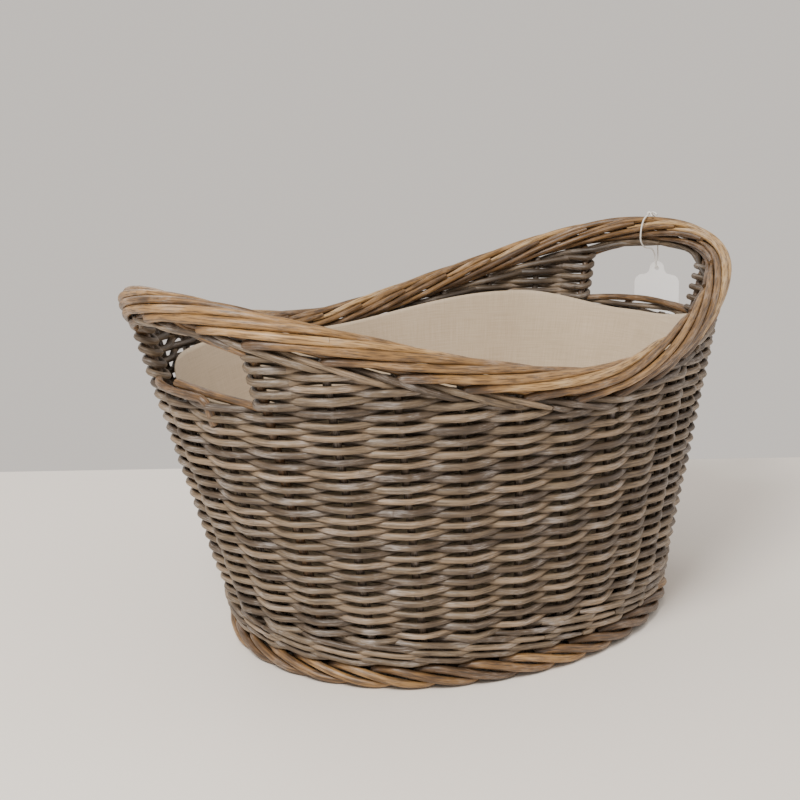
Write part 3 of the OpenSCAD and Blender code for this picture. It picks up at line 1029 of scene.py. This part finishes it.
def border_rod(rods, rng, i, route, girth, tone):
    """One border rod along a route of gaps, offset from the border's middle and height above it."""
    place = i + route[:, 0]
    jitter = rng.uniform(-0.3, 0.3, 2) * MM
    off = route[:, 1] * MM + jitter[0]
    rise = route[:, 2] * MM + jitter[1]
    lean = smooth(-rise, 12 * MM, 18 * MM)
    points = wall(place, rim_z(place) + rise * lean, off)
    points[:, 2] = rim_z(place) + rise
    rods.add(points, outward(place, rim_z(place)), girth=girth, tone=tone)


def rolled(first, last, start_roll, tuck_from, tuck):
    """Steps round the bundle, rolling evenly and closing in at the end."""
    s = np.arange(first, last + 0.01, 1 / STEPS_PER_GAP)
    roll = np.radians(start_roll + ROLL_PER_GAP * (s - first))
    r = LAY / MM * (1 - tuck * smooth(s, tuck_from, last))
    return np.stack([s, r * np.cos(roll), r * np.sin(roll)], -1)


def border(name, node, first_rod, seed):
    """Each stake comes up under the border, bends over and rolls up its outer face,
    while an older rod runs on down its inside."""
    rng = np.random.default_rng(seed)
    rods = Rods()
    rise = curve_through(BORDER_RISE, 4)
    outer = np.vstack([rise, rolled(0.75, OUTER_END, -40, 4.2, 0.3)])
    along = outer[:, 0]
    outer_girth = (1.08 - 0.14 * along / OUTER_END) * (1 - 0.5 * smooth(along, 4.3, OUTER_END))
    # painted shade: the outer rod's tone falls to its darkest where it comes up from under the border and
    # bends over
    painted_bend_shade = smooth(along, 0.15, 0.8)
    inner = rolled(0.0, INNER_END, 140, 3.5, 0.3)
    inner_girth = 0.9 - 0.12 * inner[:, 0] / INNER_END
    inner_girth *= 0.7 + 0.3 * smooth(inner[:, 0], 0, 0.4)
    for i in range(first_rod, first_rod + GAPS // 2):
        stake = i + 0.5 + rng.uniform(-0.05, 0.05)
        first = int(np.argmax(outer[:, 2] > HEAD_RISE)) if from_end(i + 0.5) < 1 else 0
        girth = outer_girth[first:] * rng.uniform(0.9, 1.1)
        tone = rng.uniform(0.2, 1.05) * painted_bend_shade[first:]
        border_rod(rods, rng, stake, outer[first:], girth, tone)
        girth = inner_girth * rng.uniform(0.9, 1.0)
        tone = rng.uniform(0.0, 0.5)
        border_rod(rods, rng, stake, inner, girth, tone)
    return weave(name, rods, "tan_willow", [node], BORDER_ROD, **{"Sides": 12, "Wander": 0.4 * MM})


# ---- Liner ----

LINER_OFF = -12.0 * MM
LINER_LOW = 24.9 * MM
BASE_CLOTH = 24.2 * MM
CLOTH = 0.9 * MM  # thickness
LINER_AROUND = 1.36  # the band's flat length
# soft folds: depth, gaps from one to the next, where they start, how they drift with height
FOLDS = ((0.5, 3.3, 0.0, 2.0), (0.35, 1.9, 1.0, 3.0), (0.3, 5.0, 0.0, -4.0))


def liner_top(g):
    u = np.asarray(g, float) % 15
    d = np.minimum(u, 15 - u)
    return MM * (225.8 + 14.5 * smooth(d, 0.4, 3.0) - 16 * smooth(d, 3.3, 7.3))


def cloth_mesh(name, points, uvs):
    """Closed rows of cloth, with its flat coordinates as its UV map."""
    rows, columns = points.shape[:2]
    mesh = bpy.data.meshes.new(name)
    faces, corners = [], []
    for r in range(rows - 1):
        for c in range(columns):
            low, high = r * columns, (r + 1) * columns
            d = (c + 1) % columns
            faces.append((low + c, low + d, high + d, high + c))
            corners += [uvs[r][c], uvs[r][c + 1], uvs[r + 1][c + 1], uvs[r + 1][c]]
    mesh.from_pydata(points.reshape(-1, 3).tolist(), [], faces)
    layer = mesh.uv_layers.new(name="cloth")
    layer.data.foreach_set("uv", np.array(corners, np.float32).ravel())
    mesh.polygons.foreach_set("use_smooth", [True] * len(mesh.polygons))
    return mesh


def sewn(name, mesh, node):
    """A piece of linen in place of a node, and its area before it is thickened."""
    obj = placed(name, mesh)
    mesh.materials.append(material("linen"))
    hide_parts(node)
    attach(obj, "basket")
    solid = obj.modifiers.new("Thickness", "SOLIDIFY")
    solid.thickness = CLOTH
    solid.offset = 0.0
    return obj, sum(p.area for p in mesh.polygons)


def liner_side():
    """The band of cloth round the inside, with a soft slump."""
    columns, rows = 420, 60
    g = np.linspace(0, GAPS, columns, endpoint=False)
    f = np.linspace(0, 1, rows)[:, None]
    z = LINER_LOW + (liner_top(g)[None] - LINER_LOW) * f
    fold = sum(d * np.sin(2 * np.pi * g / w + start + drift * f) for d, w, start, drift in FOLDS)
    slack = (np.sin(np.pi * f) ** 0.8) * 1.1 * MM
    off = LINER_OFF - 0.5 * MM - slack * (1.2 + fold)
    points = wall(g[None] + 0 * f, z, off)
    around = np.linspace(0, 1, columns + 1)[None] * LINER_AROUND + 0 * f
    up = np.concatenate([z, z[:, :1]], axis=1) * 1.03
    mesh = cloth_mesh("liner_side_cloth", points, np.stack([around, up], -1))
    obj, area = sewn("liner_side_cloth", mesh, "liner_sides")
    return obj


def liner_base():
    """The oval panel of cloth over the basket's floor."""
    columns, rows = 160, 24
    g = np.linspace(0, GAPS, columns, endpoint=False)
    rings = []
    a0 = half_length(BASE_CLOTH) + LINER_OFF - 0.3 * MM
    b0 = half_width(BASE_CLOTH) + LINER_OFF - 0.3 * MM
    edge = oval(g, BASE_CLOTH, 0.0, a0, b0)
    for r in range(rows):
        f = 1 - r / rows
        ring = edge * np.array([f, f, 1.0])
        ring[:, 2] = BASE_CLOTH + 0.8 * MM * np.sin(9 * f + g) * f * (1 - f)
        rings.append(ring)
    points = np.stack(rings)
    uvs = np.concatenate([points[..., :2], points[:, :1, :2]], axis=1)
    mesh = cloth_mesh("liner_base_cloth", points, uvs)
    bm = bmesh.new()
    bm.from_mesh(mesh)
    bm.verts.ensure_lookup_table()
    last = [bm.verts[(rows - 1) * columns + c] for c in range(columns)]
    face = bm.faces.new(last)
    face.smooth = True
    bmesh.ops.recalc_face_normals(bm, faces=bm.faces)
    bmesh.ops.triangulate(bm, faces=[face])
    bm.to_mesh(mesh)
    bm.free()
    obj, area = sewn("liner_base_cloth", mesh, "liner_base")
    2 * a0
    2 * b0
    return obj


# ---- Swing tag ----

TAG_HEADING = 0.25 * END_STEP
KNOT_RISE = 14.15 * MM
STRING = 1.5 * MM
# the string's route in the tag's own frame, outwards and up from the border's middle
STRING_ROUTE = (
    (1, 13.4), (7, 11.6), (11.6, 8), (13.8, 1), (15, -8), (15.8, -18), (16.3, -28),
    (16.6, -36), (16.1, -40), (14.5, -41.5), (12.9, -40), (12.2, -35), (10.6, -28),
    (6, -22.2), (-1, -20), (-7, -18.8), (-12.2, -15.6), (-15.6, -10.8), (-15.6, -3),
    (-13.6, 4), (-9.8, 9.6), (-3, 13),
)


def tag_frame():
    """Where the tag's frame stands: X outwards, Z up, at the border's middle."""
    end_x, end_r, _, _ = arcs(half_length(END_HEIGHT), half_width(END_HEIGHT))
    x = end_x + end_r * math.cos(TAG_HEADING)
    y = end_r * math.sin(TAG_HEADING)
    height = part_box("tag_string")[1][2] - KNOT_RISE
    return Matrix.Translation((x, y, height)) @ Matrix.Rotation(TAG_HEADING, 4, "Z")


def string_tube(name, lines):
    """White string along one or more lines of points."""
    tube = bpy.data.curves.new(name, "CURVE")
    tube.dimensions = "3D"
    for line in lines:
        spline = tube.splines.new("POLY")
        spline.points.add(len(line) - 1)
        for point, p in zip(spline.points, line):
            point.co = (*p, 1)
    tube.bevel_depth = STRING / 2
    tube.bevel_resolution = 3
    tube.use_fill_caps = True
    obj = placed(name, tube)
    tube.materials.append(material("string"))
    return obj


def tag_string():
    """The loop of string over the border that holds the tag."""
    place = tag_frame()
    route = [tuple(place @ Vector((x * MM, 0, z * MM))) for x, z in STRING_ROUTE]
    line = [Vector(p) for p in curve_through(route, 5)]
    obj = string_tube("tag_string_cord", [line])
    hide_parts("tag_string")
    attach(obj, "string")
    return obj


KNOT = 2.1
KNOT_HEIGHT = 14.4
# the string's two short ends beyond the knot, in the tag's own frame
KNOT_ENDS = (
    ((0.5, -0.6, 14.4), (0.2, -3.6, 15.6), (-1.5, -7.2, 15.2), (-2.6, -9.8, 13.6)),
    ((0.2, 0.4, 14.6), (-2.6, -2.4, 15.4), (-5.2, -4.6, 14.0), (-6.8, -7.2, 12.2)),
)


def string_knot():
    """The knot on top of the border, with its two short ends."""
    place = tag_frame()
    turns = [
        (KNOT * math.cos(a), KNOT * math.sin(a), KNOT_HEIGHT + math.sin(2 * a))
        for a in np.linspace(0, 2 * math.pi, 14)
    ]
    lines = [[place @ Vector(np.array(p) * MM) for p in line] for line in (turns, *KNOT_ENDS)]
    obj = string_tube("string_knot", lines)
    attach(obj, "string")
    return obj


# ---- Stage ----


CAMERA_PLACE = (-0.831, -0.855, 0.4746)
CAMERA_YAW = math.radians(-42.09)
CAMERA_PITCH = math.radians(11.4)
CAMERA_ROLL = math.radians(-1.06)
CAMERA_LENS = 63.96
CAMERA_SHIFT = -0.075


def camera():
    """Looks at the front left corner from a little above the basket."""
    data = bpy.data.cameras.new("Camera")
    obj = placed("Camera", data)
    yaw, pitch, roll = CAMERA_YAW, CAMERA_PITCH, CAMERA_ROLL
    back = Vector((math.sin(yaw) * math.cos(pitch), -math.cos(yaw) * math.cos(pitch), math.sin(pitch)))
    right = Vector((math.cos(yaw), math.sin(yaw), 0))
    up = back.cross(right)
    right, up = (
        math.cos(roll) * right + math.sin(roll) * up,
        -math.sin(roll) * right + math.cos(roll) * up,
    )
    turn = Matrix((right, up, back)).transposed().to_4x4()
    obj.matrix_world = Matrix.Translation(CAMERA_PLACE) @ turn
    data.sensor_width = 36
    data.lens = CAMERA_LENS
    data.shift_y = CAMERA_SHIFT
    data.clip_start = 0.05
    bpy.context.scene.camera = obj


def lamp(name, place, aim, size, power, colour):
    data = bpy.data.lights.new(name, "AREA")
    data.shape = "DISK"
    data.size = size
    data.energy = power
    data.color = colour
    obj = placed(name, data)
    toward = Vector(aim) - Vector(place)
    obj.matrix_world = Matrix.Translation(place) @ toward.to_track_quat("-Z", "Y").to_matrix().to_4x4()


FLOOR_REACH = 0.42
FLOOR_HALF_WIDTH = 6.0
ROOM = (0.88, 0.815, 0.755, 1)


def build_stage(options):
    """A table top whose far edge lies square to the camera, three soft lamps and even room light."""
    across = Vector((math.cos(CAMERA_YAW), math.sin(CAMERA_YAW), 0))
    away = Vector((-math.sin(CAMERA_YAW), math.cos(CAMERA_YAW), 0))
    low = Vector((0, 0, CAD_BOX[0][2]))
    w = FLOOR_HALF_WIDTH
    ends = ((-w, -w), (w, -w), (w, FLOOR_REACH), (-w, FLOOR_REACH))
    corners = [low + across * x + away * y for x, y in ends]
    mesh = bpy.data.meshes.new("floor")
    mesh.from_pydata(corners, [], [(0, 1, 2, 3)])
    floor = placed("floor", mesh)
    mesh.materials.append(material("floor"))
    lamp("Window", (-1.5, -0.6, 1.8), (0, 0, 0.1), 0.9, options.window_power, (1.0, 0.965, 0.92))
    lamp("Fill", (1.9, -1.3, 1.2), (0, 0, 0.15), 1.4, options.fill_power, (0.98, 0.98, 1.0))
    lamp("Back", (0.4, 2.0, 1.6), (0, 0, 0.2), 1.2, options.back_power, (1.0, 1.0, 1.0))
    world = bpy.data.worlds.new("Studio")
    bpy.context.scene.world = world
    world.use_nodes = True
    background = world.node_tree.nodes["Background"]
    background.inputs["Color"].default_value = ROOM
    background.inputs["Strength"].default_value = options.room_light


# ---- Add-on ----


def lamp_power(name, description, default):
    return bpy.props.FloatProperty(
        name=name, description=description, default=default, min=0, unit="POWER"
    )


class BasketStage(bpy.types.PropertyGroup):
    """Lights of the studio."""

    window_power: lamp_power("Window light", "Power of the main soft light", 62.0)
    fill_power: lamp_power("Fill light", "Power of the light from the right", 8.0)
    back_power: lamp_power("Back light", "Power of the light from behind", 10.0)
    room_light: bpy.props.FloatProperty(
        name="Room light", description="Strength of the even light all round", default=0.93, min=0
    )


class BASKET_OT_stage(bpy.types.Operator):
    """Set up the camera, the floor and the lights"""

    bl_idname = "basket.stage"
    bl_label = "Stage"

    def execute(self, context):
        camera()
        build_stage(context.scene.basket_stage)
        return {"FINISHED"}


class BASKET_OT_tag(bpy.types.Operator):
    """Hang the blank tag on its string"""

    bl_idname = "basket.tag"
    bl_label = "Swing tag"

    def execute(self, context):
        tag_string()
        string_knot()
        finish_node("swing_tag", "card")
        return {"FINISHED"}


class BASKET_OT_foot(bpy.types.Operator):
    """Border the foot and weave the base"""

    bl_idname = "basket.foot"
    bl_label = "Foot and base"

    def execute(self, context):
        foot_border()
        base_weave()
        finish_node("base_cross_sticks", "grey_willow")
        finish_node("base_long_sticks", "grey_willow")
        return {"FINISHED"}


class BASKET_OT_walls(bpy.types.Operator):
    """Stake up and weave the walls"""

    bl_idname = "basket.walls"
    bl_label = "Walls"

    def execute(self, context):
        stakes("front_stakes", "stakes_front", np.arange(3.5, 12), 21)
        stakes("back_stakes", "stakes_back", np.arange(18.5, 27), 22)
        stakes("left_end_stakes", "stakes_left_end", (-2.5, -0.5, 0.5, 2.5), 23)
        stakes("right_end_stakes", "stakes_right_end", (12.5, 14.5, 15.5, 17.5), 24)
        posts("left_posts", "left_handle_posts", 0, 25)
        posts("right_posts", "right_handle_posts", 15, 26)
        side_weave("front_siding", "weave_front", 2.5, 31)
        side_weave("back_siding", "weave_back", 17.5, 32)
        end_weave("left_end_siding", "weave_left_end", 0, 33)
        end_weave("right_end_siding", "weave_right_end", 15, 34)
        cheek("left_front_cheek_rods", "left_front_cheek", 0, 1, 41)
        cheek("left_back_cheek_rods", "left_back_cheek", 0, -1, 42)
        cheek("right_front_cheek_rods", "right_front_cheek", 15, -1, 43)
        cheek("right_back_cheek_rods", "right_back_cheek", 15, 1, 44)
        levels = (23.4 * MM, 29.9 * MM, 36.4 * MM)
        wale("upsett_rods", "bottom_wale", 0, 30, levels, 2.4 * MM, 51, **{"Ply Lift": 2.2 * MM})
        return {"FINISHED"}


class BASKET_OT_rim(bpy.types.Operator):
    """Wale the rim, bend the sills over and roll the border"""

    bl_idname = "basket.rim"
    bl_label = "Rim"

    def execute(self, context):
        levels = (17.6 * MM,)
        lift = {"Ply Lift": 2.9 * MM}
        wale("front_rim_wale", "top_wale_front", 0, 15, levels, 2.7 * MM, 52, True, **lift)
        wale("back_rim_wale", "top_wale_back", 15, 30, levels, 2.7 * MM, 53, True, **lift)
        sill("left_sill_rods", "left_sill", 0, LAID_SHORT, 61)
        sill("right_sill_rods", "right_sill", 15, LAID_LONG, 62)
        border("front_border_rods", "border_front", 0, 71)
        border("back_border_rods", "border_back", 15, 72)
        return {"FINISHED"}


class BASKET_OT_liner(bpy.types.Operator):
    """Sew the cloth liner"""

    bl_idname = "basket.liner"
    bl_label = "Liner"

    def execute(self, context):
        liner_side()
        liner_base()
        return {"FINISHED"}


OPERATORS = (BASKET_OT_stage, BASKET_OT_tag, BASKET_OT_foot, BASKET_OT_walls, BASKET_OT_rim, BASKET_OT_liner)


class BASKET_PT_panel(bpy.types.Panel):
    """The steps of making the basket"""

    bl_idname = "BASKET_PT_panel"
    bl_label = "Log basket"
    bl_space_type = "VIEW_3D"
    bl_region_type = "UI"
    bl_category = "Basket"

    def draw(self, context):
        for step in OPERATORS:
            self.layout.operator(step.bl_idname)
        stage = context.scene.basket_stage
        for name in ("window_power", "fill_power", "back_power", "room_light"):
            self.layout.prop(stage, name)


CLASSES = (BasketStage, *OPERATORS, BASKET_PT_panel)


def register():
    for cls in CLASSES:
        bpy.utils.register_class(cls)
    bpy.types.Scene.basket_stage = bpy.props.PointerProperty(type=BasketStage)


def unregister():
    del bpy.types.Scene.basket_stage
    for cls in reversed(CLASSES):
        bpy.utils.unregister_class(cls)


def main():
    register()
    bpy.ops.basket.stage()
    bpy.ops.basket.tag()
    bpy.ops.basket.foot()
    bpy.ops.basket.walls()
    bpy.ops.basket.rim()
    bpy.ops.basket.liner()


if __name__ == "__main__":
    main()
